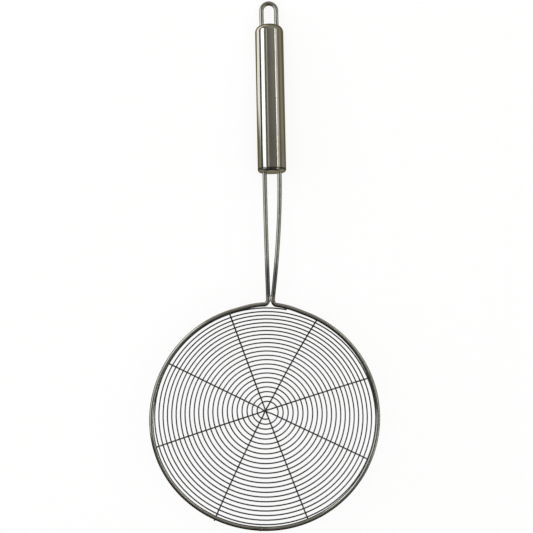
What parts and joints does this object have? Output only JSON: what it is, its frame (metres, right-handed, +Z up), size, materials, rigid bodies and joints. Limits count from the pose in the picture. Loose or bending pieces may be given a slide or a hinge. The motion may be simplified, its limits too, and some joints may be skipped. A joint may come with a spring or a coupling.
{
  "type": "spiral wire strainer",
  "caption": "Stainless steel kitchen skimmer: a shallow spiral wire bowl on a round wire rim, with a hollow polished handle and a hanging loop.",
  "frame": {"origin": "under the hub of the bowl, on the lowest cross wire, where the bowl touches the table", "axes": "+Z up, out of the open side of the bowl; +Y from the bowl towards the handle and its hanging loop"},
  "size_m": [0.1808, 0.4171, 0.0337],
  "materials": {
    "handle_steel": "polished",
    "frame_steel": "bright drawn",
    "basket_steel": "drawn wire"
  },
  "bodies": {
    "root": {"frame_wire": "frame_steel", "handle_tube": "handle_steel", "handle_end_cap": "handle_steel", "spiral_wire": "basket_steel", "cross_wire_1": "basket_steel", "cross_wire_2": "basket_steel", "cross_wire_3": "basket_steel", "cross_wire_4": "basket_steel"}
  },
  "joints": []
}
